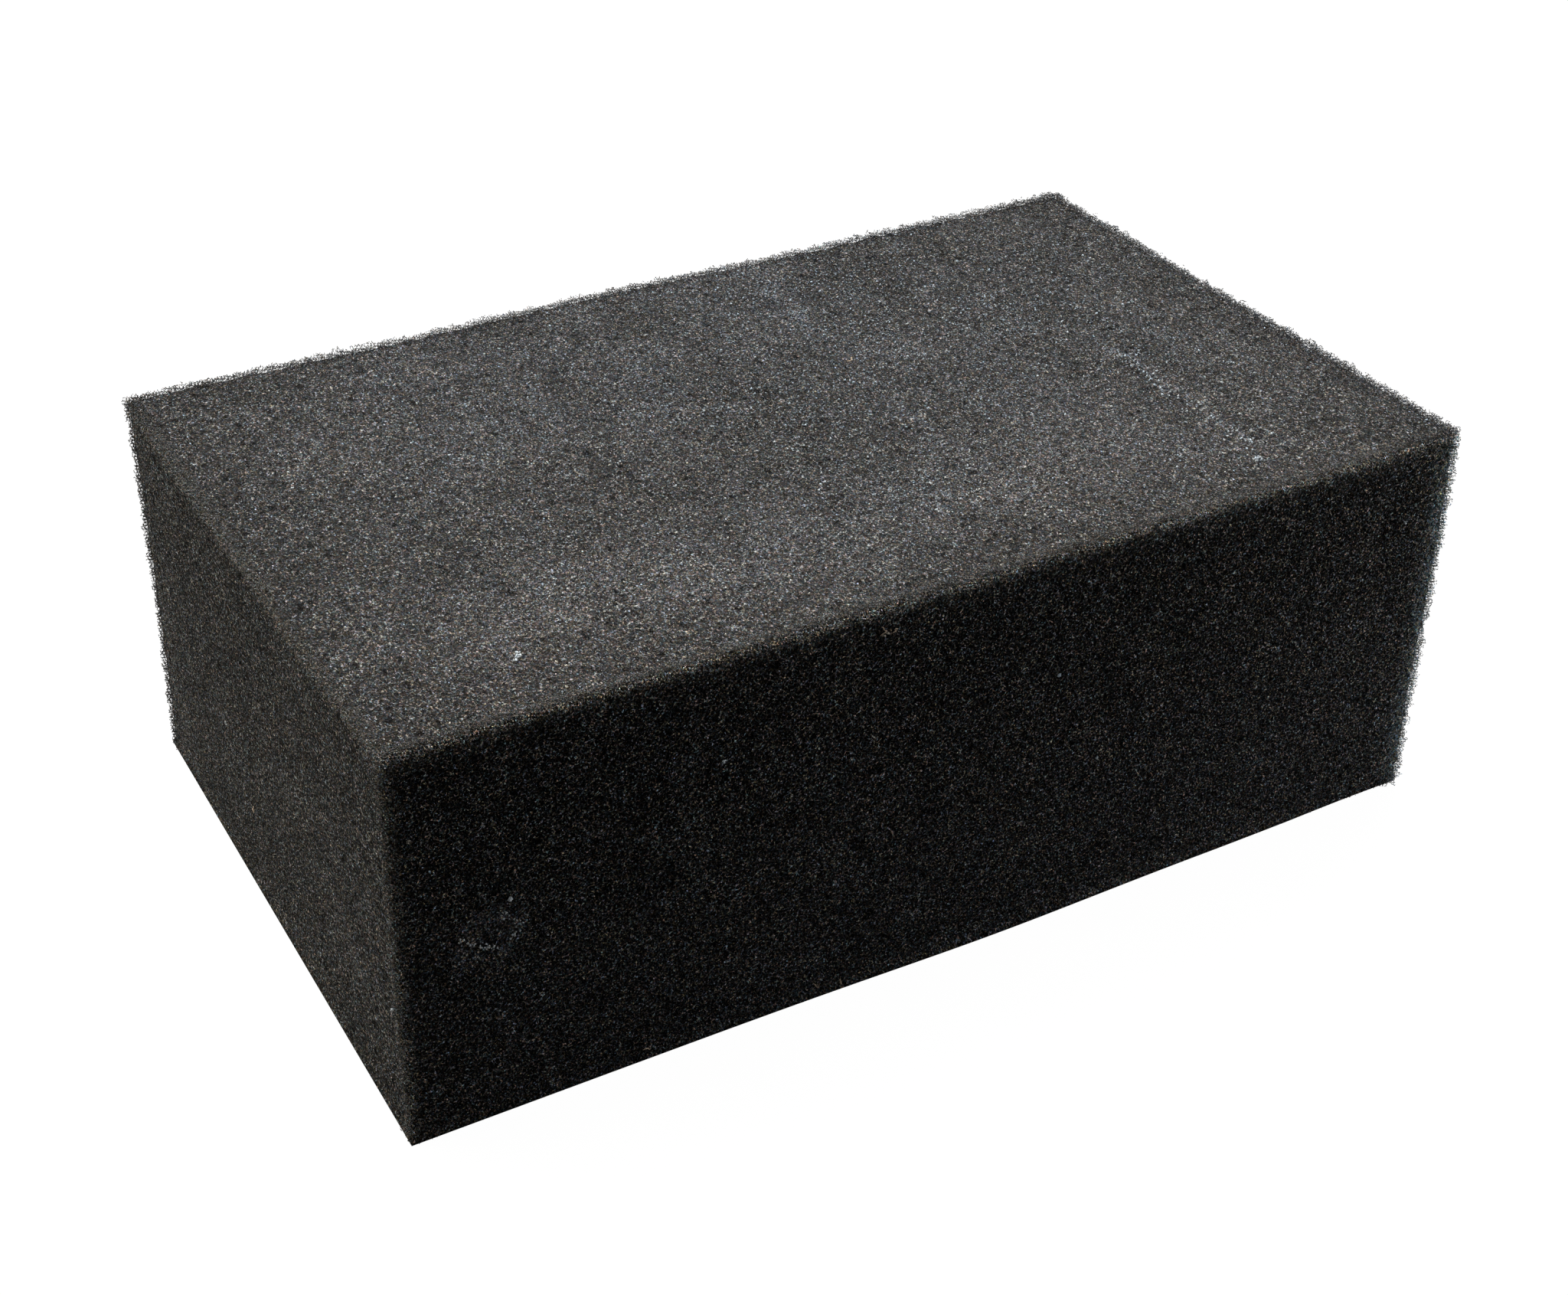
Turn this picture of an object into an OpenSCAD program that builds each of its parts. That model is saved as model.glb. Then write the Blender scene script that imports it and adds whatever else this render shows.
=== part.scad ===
// Masonry sponge: one block of soft open-cell foam, wire-cut on all six sides.
//
// The block stands on its flat base, with its length along X and its width
// along Y. The front is the -Y side and the right end is the +X side. The cuts
// are a little out of square, the edges are close to sharp, and all the faces
// but the base keep the slow waves of the cut. The cells are finer than a
// millimetre and are left to the finish.

/* [Block] */
// Length of the block, halfway up and halfway across
block_length = 203; // [100:0.5:320]
// Width of the block, halfway up and halfway along
block_width = 126; // [60:0.5:200]
// Height of the block at the middle of its length
block_height = 75.5; // [30:0.5:150]

/* [Edges] */
// Radius of the small soft rounding on all twelve edges
edge_radius = 0.8; // [0.4:0.1:6]

/* [Out of square] */
// How far the top stands to the right of the base
end_lean = 0.8; // [-3:0.1:3]
// How much higher the top is at the right end than at the left end
end_rise = 0.9; // [-3:0.1:3]
// How much wider the block is at the left end than at the right end
left_extra = 2.6; // [-6:0.1:6]
// How much longer the block is at the front than at the back
front_extra = 2; // [-6:0.1:6]

/* [Wire cut] */
// Depth of the slow waves in the cut faces, from level to crest
wave_depth = 0.35; // [0:0.05:1]
// Distance from crest to crest of the waves
wave_length = 74; // [40:1:150]
// Height over which the waves fade out towards the flat base
wave_fade = 14; // [5:1:25]

/* [Hidden] */

half_length = block_length / 2;
half_width = block_width / 2;

// Flats across half of a rounded edge, and even pieces between the edges.
edge_steps = 3;
pieces_long = 14;
pieces_wide = 9;
pieces_high = 5;
// Rings that close the top, from its rim to its middle.
top_rings = 6;

// Distance in from a sharp edge at each step of its rounding, rim first. The
// steps stand at equal angles seen from the centre of the rounding.
edge_insets = [
    for (i = [0 : edge_steps - 1]) edge_radius * (1 - tan(45 * (1 - i / edge_steps)))
];

// Places along one side of the sharp block, with close steps at both ends.
function places(size, pieces) = concat(
    edge_insets,
    [for (i = [0 : pieces]) edge_radius + (size - 2 * edge_radius) * i / pieces],
    [for (i = [edge_steps - 1 : -1 : 0]) size - edge_insets[i]]
);

// The plan of the sharp block, anticlockwise from its front left corner, as
// shares of half the length and half the width.
along = [for (p = places(block_length, pieces_long)) p / half_length - 1];
across = [for (p = places(block_width, pieces_wide)) p / half_width - 1];
last_along = len(along) - 1;
last_across = len(across) - 1;
plan = concat(
    [for (i = [0 : last_along - 1]) [along[i], -1]],
    [for (j = [0 : last_across - 1]) [1, across[j]]],
    [for (i = [last_along : -1 : 1]) [along[i], 1]],
    [for (j = [last_across : -1 : 1]) [-1, across[j]]]
);

// Rings from the rim of the flat base, up the sides, to the middle of the top:
// each is half its length, half its width, and its height.
rim = [half_length - edge_radius, half_width - edge_radius];
rings = concat(
    [[rim.x, rim.y, 0]],
    [for (i = [edge_steps - 1 : -1 : 1]) inset_ring(edge_insets[i], 0)],
    [for (z = places(block_height, pieces_high)) inset_ring(0, z)],
    [for (i = [1 : edge_steps - 1]) inset_ring(edge_insets[i], block_height)],
    [for (i = [top_rings : -1 : 1]) [rim.x * i / top_rings, rim.y * i / top_rings, block_height]]
);
function inset_ring(inset, z) = [half_length - inset, half_width - inset, z];

// The nearest point of the core, which is the block less its rounding.
function core(p) = [
    max(-rim.x, min(rim.x, p.x)),
    max(-rim.y, min(rim.y, p.y)),
    max(edge_radius, min(block_height - edge_radius, p.z))
];

// Height of the cut's waves at a point, faded out near the base.
function wave(p) =
    let (turn = 360 / wave_length, fade = min(1, max(0, p.z) / wave_fade))
    wave_depth * fade * (
        sin(turn * (p.x + 0.4 * p.y)) + sin(turn * (0.8 * p.y - 0.5 * p.z) + 70)
        + sin(turn * (0.7 * p.z - 0.6 * p.x) + 200)
    ) / 3;

// Draws a point of the sharp block in to the rounded and wavy surface.
function rounded(p) =
    let (c = core(p), out = (p - c) / norm(p - c))
    c + out * (edge_radius + wave(p));

// Leans and tapers a point of the square block as the cuts do.
function out_of_square(p) =
    let (u = p.x / block_length, v = p.y / block_width, w = p.z / block_height)
    [
        p.x + end_lean * (w - 0.5) - front_extra * u * v,
        p.y - left_extra * u * v,
        p.z + end_rise * u * w
    ];

function surface_point(p) = out_of_square(rounded(p));

ring_points = [
    for (ring = rings, share = plan)
        surface_point([ring.x * share.x, ring.y * share.y, ring.z])
];
top_point = surface_point([0, 0, block_height]);

// The block is set down with the middle of its outline over the origin.
middle = [
    (min([for (p = ring_points) p.x]) + max([for (p = ring_points) p.x])) / 2,
    (min([for (p = ring_points) p.y]) + max([for (p = ring_points) p.y])) / 2,
    0
];

module foam_block() {
    count = len(plan);
    last = (len(rings) - 1) * count;
    top_middle = len(ring_points);
    base_middle = top_middle + 1;
    base_faces = [for (m = [0 : count - 1]) [base_middle, m, (m + 1) % count]];
    side_faces = [
        for (k = [0 : len(rings) - 2], m = [0 : count - 1])
            let (a = k * count + m, b = k * count + (m + 1) % count)
            each [[a, a + count, b + count], [a, b + count, b]]
    ];
    top_faces = [
        for (m = [0 : count - 1]) [top_middle, last + (m + 1) % count, last + m]
    ];
    color("#2b2927")
        translate(-middle)
            polyhedron(
                concat(ring_points, [top_point, middle]),
                concat(base_faces, side_faces, top_faces)
            );
}

foam_block();
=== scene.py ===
import math

import bpy
import numpy as np
from mathutils import Matrix, Vector
from mathutils.bvhtree import BVHTree


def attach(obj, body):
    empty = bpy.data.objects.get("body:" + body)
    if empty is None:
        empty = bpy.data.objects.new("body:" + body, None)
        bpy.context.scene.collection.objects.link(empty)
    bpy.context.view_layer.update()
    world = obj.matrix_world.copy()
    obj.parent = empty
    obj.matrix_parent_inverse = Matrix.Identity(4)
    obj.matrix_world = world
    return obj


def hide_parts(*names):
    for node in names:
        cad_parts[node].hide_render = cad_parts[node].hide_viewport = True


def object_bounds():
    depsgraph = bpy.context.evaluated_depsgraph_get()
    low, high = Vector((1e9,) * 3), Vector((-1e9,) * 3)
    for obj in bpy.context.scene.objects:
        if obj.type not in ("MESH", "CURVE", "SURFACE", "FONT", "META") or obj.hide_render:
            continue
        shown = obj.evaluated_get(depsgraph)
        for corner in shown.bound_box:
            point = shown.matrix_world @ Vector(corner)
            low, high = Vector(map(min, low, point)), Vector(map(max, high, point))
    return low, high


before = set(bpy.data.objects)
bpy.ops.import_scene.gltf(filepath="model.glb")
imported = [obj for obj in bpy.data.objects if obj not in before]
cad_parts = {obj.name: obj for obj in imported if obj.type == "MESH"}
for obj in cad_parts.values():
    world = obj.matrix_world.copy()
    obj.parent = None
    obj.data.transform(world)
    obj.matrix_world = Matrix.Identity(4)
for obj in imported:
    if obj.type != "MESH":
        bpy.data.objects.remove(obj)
cad_low, cad_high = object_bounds()


# ---------------------------------------------------------------- foam block
# One block of black open-cell foam, wire-cut on all six sides. Its skin is
# laid over the solid in small steps and sunk into pits, and the edges are
# drawn in a little further, to leave room for the torn cells that stand there.

mm = 0.001
skin_step = 1.3 * mm
pit_depth = 0.34 * mm
clump_depth = 0.16 * mm
dip_depth = 0.14 * mm
edge_draw = 0.18 * mm
edge_reach = 1.6 * mm
edge_round = 0.8 * mm
rim_spread = 0.22 * mm
foam_rise = np.array([1.0, 1.4, 1.0])
# From the middle to the ends and to the long sides, in mm, for the dust alone.
half_long = 101
half_wide = 63
# Each faint trail of dust across the top: its share, where it starts, its bend,
# its width, and where along the width it begins and ends, in mm.
trails = (
    (0.40, 20.0, 0.4, 1.5, -60, 62), (0.30, 60.5, -2.0, 1.3, 2, 34),
    (0.24, 50.0, 1.0, 1.2, 4, 40), (0.22, -36.0, 2.0, 3.0, 8, 40),
    (0.22, 8.0, -1.0, 1.3, -30, 22), (0.18, 36.0, 0.8, 1.6, -8, 50),
)

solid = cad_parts["foam_block"].data
solid_points = np.array([v.co for v in solid.vertices])
solid_faces = [tuple(f.vertices) for f in solid.polygons]
solid_tree = BVHTree.FromPolygons([Vector(p) for p in solid_points], solid_faces)


def sharp_corner(signs):
    """Where three cuts of the block would meet if its edges weren't rounded."""
    signs = np.array(signs, float)
    corner = solid_points[np.argmax(solid_points @ signs)]
    return corner + signs * edge_round * (1 - 1 / math.sqrt(3))


corners = np.array([
    [[sharp_corner((x, y, z)) for z in (-1, 1)] for y in (-1, 1)] for x in (-1, 1)
])
corners[:, :, 0, 2] = 0


def block_point(share):
    """The point at these shares of the block's length, width and height."""
    u, v, w = (share[:, k, None] for k in range(3))
    ends = corners[0] + (corners[1] - corners[0]) * u[..., None, None]
    sides = ends[:, 0] + (ends[:, 1] - ends[:, 0]) * v[..., None]
    return sides[:, 0] + (sides[:, 1] - sides[:, 0]) * w


def depth_of_cuts():
    """For each of the six cuts, its plane: a point on it and its inward normal."""
    planes = []
    for axis in range(3):
        for side in (0, 1):
            four = np.take(corners, side, axis=axis).reshape(4, 3)
            normal = np.linalg.svd(four - four.mean(0))[2][2]
            inward = corners.reshape(8, 3).mean(0) - four.mean(0)
            planes.append((four.mean(0), normal * np.sign(normal @ inward)))
    return planes


cut_planes = depth_of_cuts()


def depths_of(points):
    """How far each point lies inside each of the six cuts, nearest first."""
    return np.sort(np.stack([(points - p) @ n for p, n in cut_planes], axis=1), axis=1)


def from_edge(points):
    """How far each point lies from the nearest edge, measured along the face."""
    return depths_of(points)[:, 1]


def rough_depth(points):
    """Roughly how far each point lies below the surface, with its rounded edges."""
    nearest = depths_of(points)[:, :3]
    over = np.linalg.norm(np.maximum(edge_round - nearest, 0), axis=1)
    return np.where(over > 0, edge_round - over, nearest[:, 0])


def on_surface(points):
    """The nearest point of the solid's surface and its outward normal."""
    near = np.empty_like(points)
    out = np.empty_like(points)
    for i, p in enumerate(points):
        place, normal, _, _ = solid_tree.find_nearest(p)
        near[i] = place
        out[i] = normal
    return near, out


def soft_noise(points, size, seed):
    """Smooth noise from 0 to 1 with lumps of about this size, in metres."""
    cells = (points - points.min(0)) / size + 1
    table = np.random.default_rng(seed).random(cells.max(0).astype(int) + 3)
    base = cells.astype(int)
    f = cells - base
    f = f * f * (3 - 2 * f)
    total = np.zeros(len(points))
    for corner in np.ndindex(2, 2, 2):
        weight = np.prod(np.where(corner, f, 1 - f), axis=1)
        i, j, k = (base + corner).T
        total += weight * table[i, j, k]
    return total


def fade(value, reach):
    """1 at the edge, and less with each reach further in."""
    return np.exp(-np.maximum(value, 0) / reach)


def ramp(value, low, high):
    """0 below low and 1 above high, with a smooth step between."""
    t = np.clip((value - low) / (high - low), 0, 1)
    return t * t * (3 - 2 * t)


def trail(x, y, start, bend, width, near, far):
    """A pale trail across the width, which wanders a little to either side."""
    middle = start + bend * (near - y) ** 2 / 1000 + 0.9 * np.sin(y / 3.1 + start)
    along = ramp(y, near, near + 9) * (1 - ramp(y, far - 9, far))
    return np.exp(-(((x - middle) / width) ** 2)) * along


def from_cuts(points):
    """How far each point lies from the left, right, front and back cuts, in mm."""
    x, y, _ = points.T / mm
    return x + half_long, half_long - x, y + half_wide, half_wide - y


def dust_and_rim_light_on_top(points):
    """Clouds, veins and clumps of dust, with pale trails; the value falls off near the left, front and
    right edges and at three corners, and a painted rim of light runs along the right and back edges.
    """
    x, y, _ = points.T / mm
    left, right, front, back = from_cuts(points)
    veins = np.zeros(len(points))
    for seed, size, weight in ((1, 24, 0.5), (2, 12, 0.3), (3, 7, 0.2)):
        drawn_out = points * [1.0, 0.42, 1.0]
        veins += weight * np.abs(2 * soft_noise(drawn_out, size * mm, seed) - 1)
    clouds = 0.6 * soft_noise(points, 26 * mm, 4) + 0.4 * soft_noise(points, 11 * mm, 5)
    clumps = 0.6 * soft_noise(points, 4.4 * mm, 6) + 0.4 * soft_noise(points, 2.3 * mm, 7)
    front_band = np.exp(-(((y + 40) / 13) ** 2)) * (0.75 + 0.5 * clouds)
    front_band *= 1.15 - 0.45 * ramp(x, 0, 90)
    dust_and_light = 0.39 + 0.65 * (clouds - 0.5) + 0.85 * (0.32 - veins) + 0.34 * front_band
    dust_and_light += 0.75 * (clumps - 0.5)
    for share, start, bend, width, near, far in trails:
        dust_and_light += share * trail(x, y, start, bend, width, near, far)
    for depth, share, reach in zip((left, front, right), (0.95, 0.60, 0.85), (12, 9, 11)):
        dust_and_light *= 1 - share * fade(depth, reach)
    dust_and_light *= 1 - 0.6 * fade(np.hypot(right, back) - 8, 8)
    dust_and_light *= 1 - 0.4 * fade(np.hypot(left, back) - 8, 8)
    dust_and_light *= 1 - 0.35 * fade(np.hypot(left, front) - 12, 14)
    # Painted light: a pale rim along the right and back edges, as light through the fuzz from behind;
    # the value also falls a little towards the right.
    dust_and_light += 0.5 * fade(right, 1.3) + 0.35 * fade(back, 1.6) - 0.05 * ramp(x, 20, 80)
    streak = trail(x, y, 68.4, 0.4, 1.0, -57, 2)
    end_blot = np.exp(-((x - 64.4) ** 2 + (y + 54.6) ** 2) / 3.5)
    smudge = np.exp(-((x + 73.5) ** 2 / 5 + (y + 48.5) ** 2 / 3))
    short_trail = trail(x, y, 87.6, 0.0, 1.5, -30, -6)
    return dust_and_light + 1.2 * streak + 1.0 * end_blot + 0.6 * smudge + 0.4 * short_trail


def dust_and_bounce_on_sides(points, normals):
    """A rubbed ring and a little haze on the front, with painted bounce light from the table growing
    towards its base, and a soft haze on the left end.
    """
    x, y, z = points.T / mm
    on_front = ramp(-normals[:, 1], 0.35, 0.9)
    on_end = ramp(-normals[:, 0], 0.35, 0.9)
    ring = np.hypot((x + 86.5) / 6.0, (z - 36) / 5.0)
    rubbed = np.exp(-(((ring - 0.7) / 0.35) ** 2)) * 3.2 * soft_noise(points, 2 * mm, 8) ** 1.5
    haze_and_bounce = 0.02 * np.exp(-(((x + 8) / 24) ** 2 + ((z - 46) / 17) ** 2)) + 0.03 * ramp(x, 30, 100)
    # Painted light: the front grows paler towards the base, most in its lowest millimetre, as bounce
    # light from the table.
    haze_and_bounce += 0.26 * (1 - ramp(z, 5, 60)) + 0.8 * fade(z, 1.2)
    low_haze = 0.22 * np.exp(-(((y + 35) / 15) ** 2 + ((z - 27) / 14) ** 2))
    end_haze = 0.05 + low_haze + 0.38 * fade(half_wide - y, 9)
    end_haze = end_haze * (0.5 + soft_noise(points, 9 * mm, 13))
    return (rubbed + haze_and_bounce) * on_front + end_haze * on_end


def pale_dust_and_light(points, normals):
    """How much mortar dust lies on each point, from 0 to 1, with the painted rim light of the top and
    the painted bounce light of the front added in.
    """
    up = ramp(normals[:, 2], 0.35, 0.9)
    on_top = np.clip(dust_and_rim_light_on_top(points), 0, 1)
    return on_top * up + np.clip(dust_and_bounce_on_sides(points, normals), 0, 1) * (1 - up)


def dust_and_light_warmth(points):
    """The hue of the dust and of the painted leaked light: 0 where it is bluish, at the back, to 1 where
    it is buff.
    """
    x, y, z = points.T / mm
    buff = 0.30 - y / 200 + 0.25 * ((x - 10) / 90) ** 2
    buff += 0.4 * (soft_noise(points, 18 * mm, 9) - 0.5)
    on_front = (1 - ramp(y + half_wide, 0, 1.5)) * (1 - ramp(z, 68, 76))
    buff -= 0.5 * on_front + 0.15 * ramp(x, 20, 80)
    buff = buff + 0.35 * fade(from_edge(points), 4 * mm) - 1.2 * fade(half_long - x, 2.5)
    return np.clip(buff, 0, 1)


def soaked_light(points, normals):
    """Painted light: where light soaks in past the edges, a paler strip is painted on the dark sides."""
    depths = np.stack([(points - p) @ n for p, n in cut_planes], axis=1)
    own = np.stack([-normals @ n for p, n in cut_planes], axis=1)
    # In the order of the cuts: left, right, front, back, base, top.
    lets_in = np.array([0.20, 4.0, 0.0, 0.30, 0.0, 1.0])
    reaches = np.array([1.25, 1.15, 1.25, 1.25, 1.25, 1.25]) * mm
    strips = lets_in * fade(depths, reaches) * (1 - ramp(own, 0.5, 0.9))
    strips[:, 1] *= 1 - 0.75 * ramp(normals[:, 1], -0.3, 0.3)
    shows = 1 - ramp(normals[:, 2], 0.3, 0.75)
    shows = shows * (1 - 0.80 * ramp(np.abs(normals[:, 0]), 0.35, 0.9))
    # Painted light: a pale band within about a millimetre of the edges, except towards the back and the
    # right end.
    x, y, z = points.T / mm
    near_side = (1 - ramp(y, 40, 60)) * (1 - ramp(x, 80, 99))
    painted_edge_light = 0.19 * fade(from_edge(points), 1.1 * mm) * near_side
    return np.minimum(strips.max(1) * shows, 1.3) + painted_edge_light


def light_into_cells(normals):
    """How far light reaches into the cells: far on the top and the ends, little on the long sides. It
    sets painted light and shade by side: lighter hollows where light reaches in, brighter struts and
    stronger painted glints where it doesn't.
    """
    up = ramp(normals[:, 2], 0.35, 0.9)
    end = ramp(np.abs(normals[:, 0]), 0.35, 0.9)
    return np.clip(up + 0.62 * end, 0, 1)


def box_skin():
    """Lattice of the six sides: shares, quads, and flat places for each quad's corners."""
    lengths = (corners[1, 0, 0] - corners[0, 0, 0], corners[0, 1, 0] - corners[0, 0, 0],
               corners[0, 0, 1] - corners[0, 0, 0])
    counts = [int(round(np.linalg.norm(d) / skin_step)) for d in lengths]
    # Where each side lies on the flat pattern: axis, side, left, bottom, in steps.
    long, wide, high = counts
    gap = 3
    pattern = (
        (2, 1, 0, 0), (2, 0, 0, wide + gap),
        (1, 0, 0, 2 * (wide + gap)), (1, 1, long + gap, 0),
        (0, 0, long + gap, high + gap), (0, 1, long + gap, high + wide + 2 * gap),
    )
    shares, quads, flats = [], [], []
    start = 0
    for axis, side, left, bottom in pattern:
        a, b = [k for k in range(3) if k != axis]
        i, j = np.meshgrid(np.arange(counts[a] + 1), np.arange(counts[b] + 1), indexing="ij")
        lattice = np.zeros((i.size, 3), int)
        lattice[:, a] = i.ravel()
        lattice[:, b] = j.ravel()
        lattice[:, axis] = side * counts[axis]
        rows = np.arange(i.size).reshape(i.shape) + start
        quad = np.stack([rows[:-1, :-1], rows[1:, :-1], rows[1:, 1:], rows[:-1, 1:]], -1)
        quad = quad.reshape(-1, 4)
        if (side == 1) == (axis == 1):
            quad = quad[:, ::-1]
        place = np.stack([i.ravel() + left, j.ravel() + bottom], -1)
        shares.append(lattice)
        flats.append(place[quad - start])
        quads.append(quad)
        start += i.size
    lattice = np.concatenate(shares)
    key = (lattice[:, 0] * 1000 + lattice[:, 1]) * 1000 + lattice[:, 2]
    _, first, welded = np.unique(key, return_index=True, return_inverse=True)
    quads = welded.ravel()[np.concatenate(quads)]
    flats = np.concatenate(flats).reshape(-1, 2)
    flats = flats / flats.max() * 0.996 + 0.002
    return lattice[first] / np.array(counts), quads, flats


def new_mesh(name, points, faces, flats=None):
    """A mesh object from arrays, smooth, with a flat pattern for its faces if given."""
    mesh = bpy.data.meshes.new(name)
    sides = faces.shape[1]
    mesh.vertices.add(len(points))
    mesh.vertices.foreach_set("co", points.astype(np.float32).ravel())
    mesh.loops.add(faces.size)
    mesh.loops.foreach_set("vertex_index", faces.astype(np.int32).ravel())
    mesh.polygons.add(len(faces))
    mesh.polygons.foreach_set("loop_start", np.arange(0, faces.size, sides, dtype=np.int32))
    mesh.polygons.foreach_set("use_smooth", np.ones(len(faces), bool))
    if flats is not None:
        layer = mesh.uv_layers.new(name="OFBake")
        layer.uv.foreach_set("vector", flats.astype(np.float32).ravel())
    mesh.update(calc_edges=True)
    mesh.validate()
    made = bpy.data.objects.new(name, mesh)
    bpy.context.scene.collection.objects.link(made)
    return made


def paint(thing, name, values):
    """Keeps a value for every point of the mesh, for its material to read."""
    layer = thing.data.attributes.new(name, "FLOAT", "POINT")
    layer.data.foreach_set("value", values.astype(np.float32))


draw = np.random.default_rng(20)
skin_shares, skin_quads, skin_flats = box_skin()
skin = block_point(skin_shares)
on_rim = skin_shares[:, 2] == 0
on_rim &= np.isin(skin_shares[:, :2], (0, 1)).any(axis=1)
rim_places = skin[on_rim]
rim_out = np.sign(skin_shares[on_rim] - 0.5) * (skin_shares[on_rim] % 1 == 0)
rim_along = rim_places[:, 0] / mm
rim_bow = 0.8 * np.exp(-(((rim_along - 8) / 30) ** 2)) - 0.45 * ramp(rim_along, 55, 95)
rim_bow = np.where(rim_out[:, 1] < 0, rim_bow, 0)
rim_places += rim_out * (rim_spread + rim_bow * mm)[:, None]
skin += draw.uniform(-0.28, 0.28, skin.shape) * skin_step
skin, skin_out = on_surface(skin)
near_edge = 1 - ramp(from_edge(skin), 0.6 * mm, edge_reach)
pits = draw.random(len(skin)) ** 1.6
on_ends = ramp(np.abs(skin_out[:, 0]), 0.35, 0.9)
sink = pit_depth * pits * (1 - 0.45 * on_ends)
sink += clump_depth * soft_noise(skin, 2.6 * mm, 11) * (0.4 + 0.6 * ramp(skin_out[:, 2], 0.35, 0.9))
sink += dip_depth * soft_noise(skin, 12 * mm, 12)
sink = sink * (1 - 0.45 * near_edge) + edge_draw * near_edge
low_down = 1 - ramp(skin[:, 2], 0, 1.6 * mm)
sink *= 1 - 0.8 * low_down
dust_and_light_on_skin = pale_dust_and_light(skin, skin_out)
warmth_on_skin = dust_and_light_warmth(skin)
leak_light_on_skin = soaked_light(skin, skin_out)
torn_rim = draw.uniform(-0.26, 0.14, len(skin)) * mm * near_edge * (1 - low_down)
skin -= skin_out * (sink + torn_rim)[:, None]
# The block's weight spreads the foam a little where it meets the table.
skin[on_rim] = rim_places
skin[:, 2] = np.maximum(skin[:, 2], 0)

block = new_mesh("foam_block_skin", skin, skin_quads, skin_flats)
paint(block, "dust_and_light", dust_and_light_on_skin)
paint(block, "warmth", warmth_on_skin)
paint(block, "leak_light", leak_light_on_skin)
paint(block, "pit", pits)
paint(block, "light_reach", light_into_cells(skin_out))


def new_group(name, inputs, outputs):
    """A shader node group with these named sockets, and its two end nodes."""
    tree = bpy.data.node_groups.new(name, "ShaderNodeTree")
    kinds = {"value": "NodeSocketFloat", "colour": "NodeSocketColor", "vector": "NodeSocketVector"}
    for label, kind, start in inputs:
        socket = tree.interface.new_socket(label, in_out="INPUT", socket_type=kinds[kind])
        if start is not None:
            socket.default_value = start
    for label, kind in outputs:
        tree.interface.new_socket(label, in_out="OUTPUT", socket_type=kinds[kind])
    return tree, tree.nodes.new("NodeGroupInput"), tree.nodes.new("NodeGroupOutput")


def put(tree, kind, links=None, **settings):
    """Adds a node, sets its properties, and fills its inputs with values or links."""
    made = tree.nodes.new(kind)
    for name, value in settings.items():
        setattr(made, name, value)
    for socket, value in (links or {}).items():
        if isinstance(value, bpy.types.NodeSocket):
            tree.links.new(value, made.inputs[socket])
        else:
            made.inputs[socket].default_value = value
    return made


def sum_of(tree, operation, a, b=0.0, c=0.0, clamp=False):
    """One step of arithmetic on values or sockets."""
    links = {0: a, 1: b, 2: c}
    return put(tree, "ShaderNodeMath", links, operation=operation, use_clamp=clamp).outputs[0]


def vector_of(tree, operation, a, b=None, c=None, **more):
    """One step of arithmetic on places or colours."""
    links = {0: a} | ({} if b is None else {1: b}) | ({} if c is None else {2: c}) | more
    return put(tree, "ShaderNodeVectorMath", links, operation=operation).outputs[0]


def mapped(tree, value, low, high, to_low=0.0, to_high=1.0, smooth=True):
    """The value moved from one range to another."""
    kind = "SMOOTHSTEP" if smooth else "LINEAR"
    links = {"Value": value, "From Min": low, "From Max": high, "To Min": to_low, "To Max": to_high}
    return put(tree, "ShaderNodeMapRange", links, interpolation_type=kind).outputs["Result"]


def mixed(tree, share, a, b, blend="MIX"):
    """Two colours mixed by a share."""
    made = put(tree, "ShaderNodeMix", data_type="RGBA", blend_type=blend)
    for socket, value in ((made.inputs[0], share), (made.inputs[6], a), (made.inputs[7], b)):
        if isinstance(value, bpy.types.NodeSocket):
            tree.links.new(value, socket)
        else:
            socket.default_value = value
    return made.outputs[2]


def rgb(red, green, blue):
    return (red, green, blue, 1.0)


def placed(tree, group, links=None):
    """Puts a node group in a tree and fills its inputs with values or links."""
    made = tree.nodes.new("ShaderNodeGroup")
    made.node_tree = group
    for name, value in (links or {}).items():
        if isinstance(value, bpy.types.NodeSocket):
            tree.links.new(value, made.inputs[name])
        else:
            made.inputs[name].default_value = value
    return made


def noise_at(tree, place, scale, detail=2.0, rough=0.5, out="Fac"):
    """Soft noise with this many lumps to a millimetre."""
    links = {"Vector": place, "Scale": scale, "Detail": detail, "Roughness": rough}
    return put(tree, "ShaderNodeTexNoise", links).outputs[out]


def shares_at(tree, place, size):
    """Three random shares, the same all over each grain of this size."""
    links = {"Vector": place, "Scale": 1.0 / size, "Randomness": 1.0}
    grains = put(tree, "ShaderNodeTexVoronoi", links, feature="F1")
    return put(tree, "ShaderNodeSeparateColor", {0: grains.outputs["Color"]}).outputs, grains


# Open cells: each is under a millimetre across and shows as a ring of thin
# struts with a hollow inside painted dark as shade, and more rings a little
# deeper behind it, painted dimmer as shade.
cells, cells_in, cells_out = new_group(
    "open_cells",
    [("Place", "vector", None), ("Cell", "value", 0.9), ("Strut", "value", 0.2)],
    [("Strut", "value"), ("Hollow", "value"), ("Height", "value")],
)
at = cells_in.outputs["Place"]
thickness = cells_in.outputs["Strut"]
wobble = noise_at(cells, at, 1.5, 1.0, out="Color")
wobbled = vector_of(cells, "MULTIPLY_ADD", wobble, (0.5, 0.5, 0.5), at)
cell_scale = sum_of(cells, "DIVIDE", 1.0, cells_in.outputs["Cell"])
ring_links = {"Vector": wobbled, "Scale": cell_scale, "Randomness": 1.0}
front_rings = put(cells, "ShaderNodeTexVoronoi", ring_links, feature="DISTANCE_TO_EDGE")
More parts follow.
